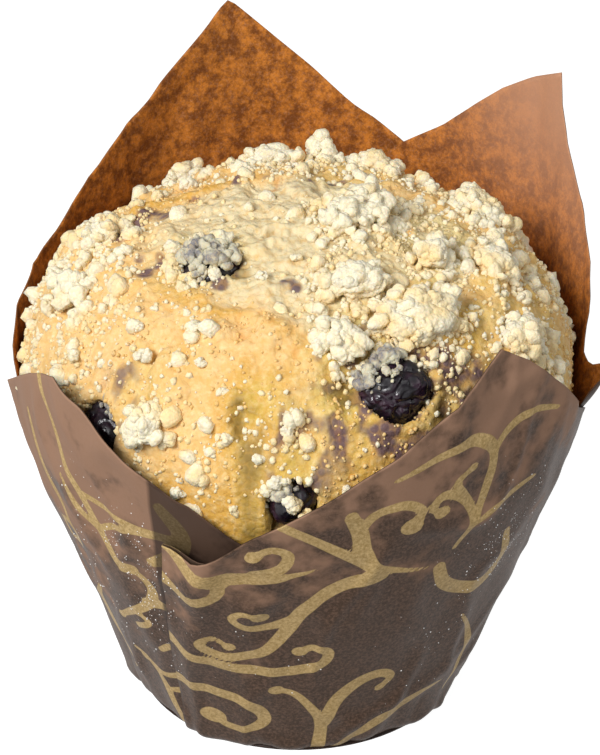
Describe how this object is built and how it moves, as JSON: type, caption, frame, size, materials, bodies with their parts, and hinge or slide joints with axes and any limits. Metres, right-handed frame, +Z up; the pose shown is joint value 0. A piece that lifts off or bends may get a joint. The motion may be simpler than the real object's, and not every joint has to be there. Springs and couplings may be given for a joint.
{
  "type": "streusel muffin in a tulip paper case",
  "caption": "Domed muffin with dark berries and crumbly streusel, in a folded brown paper case with tall pointed petals and pressed pleats.",
  "frame": {"origin": "middle of the case's flat base, on the surface it stands on", "axes": "+Z up through the dome; -Y to the front, where the lowest valley of the paper shows the berries; +X to the right"},
  "size_m": [0.094, 0.0959, 0.1019],
  "materials": {
    "brown_paper": "brown baking paper, matte, printed with tan scrolls, darker where greasy",
    "baked_cake": "golden baked sponge with a soft crust, pale near the top, matte to slightly moist",
    "berry_skin": "dark purple cooked berry skin, soft wet gloss",
    "streusel": "pale cream baked crumb of flour, butter and sugar, matte"
  },
  "bodies": {
    "root": {"wrap": "brown_paper", "muffin": "baked_cake", "berry_front_right": "berry_skin", "berry_top_left": "berry_skin", "berry_left_edge": "berry_skin", "berry_front_edge": "berry_skin", "crumb_top_front": "streusel", "crumb_right_front": "streusel", "crumb_middle_upper": "streusel", "crumb_middle_lower": "streusel", "crumb_right_high": "streusel", "crumb_right_mid": "streusel", "crumb_right_low": "streusel", "crumb_right_small": "streusel", "crumb_back_left": "streusel", "crumb_back_middle": "streusel", "crumb_back_right": "streusel", "crumb_back_low": "streusel", "crumb_back_edge": "streusel", "crumb_left_high": "streusel", "crumb_left_low": "streusel", "crumb_edge_left": "streusel"}
  },
  "joints": []
}
